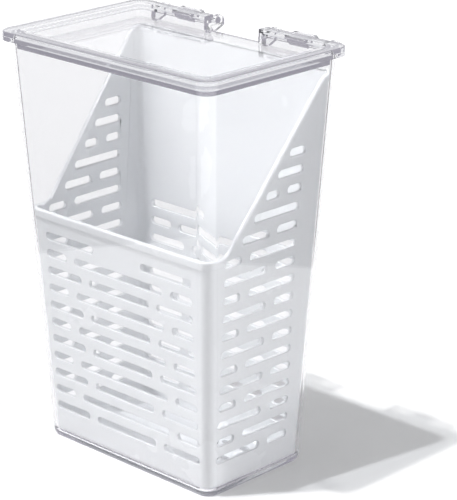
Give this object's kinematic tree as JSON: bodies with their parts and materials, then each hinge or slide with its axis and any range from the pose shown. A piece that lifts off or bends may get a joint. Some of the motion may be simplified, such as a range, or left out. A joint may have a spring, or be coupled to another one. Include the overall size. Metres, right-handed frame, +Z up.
{
  "type": "herb keeper",
  "caption": "Tall clear tapered bin with a hinged lid that clips on and a lift-out white slotted basket with a scooped mouth, for keeping cut stems upright.",
  "frame": {"origin": "middle of the bin's footprint, on the surface it stands on", "axes": "+Z up, +X along the wide front, -Y towards the low front of the basket, hinges at +Y"},
  "size_m": [0.1396, 0.1011, 0.2079],
  "materials": {
    "clear_bin": "clear polished styrenic plastic",
    "clear_lid": "clear polished styrenic plastic",
    "white_basket": "smooth white polypropylene, soft gloss"
  },
  "bodies": {
    "bin": {"container": "clear_bin"},
    "lid": {"lid": "clear_lid"},
    "basket": {"basket": "white_basket"}
  },
  "joints": [
    {"name": "lid_hinge", "type": "hinge", "parent": "bin", "child": "lid", "pos_m": [0, 0.05063, 0.2041], "axis": [-1, 0, 0], "range_deg": [0, 105]},
    {"name": "basket_lift", "type": "slide", "parent": "bin", "child": "basket", "axis": [0, 0, 1], "range_m": [0, 0.003]}
  ]
}
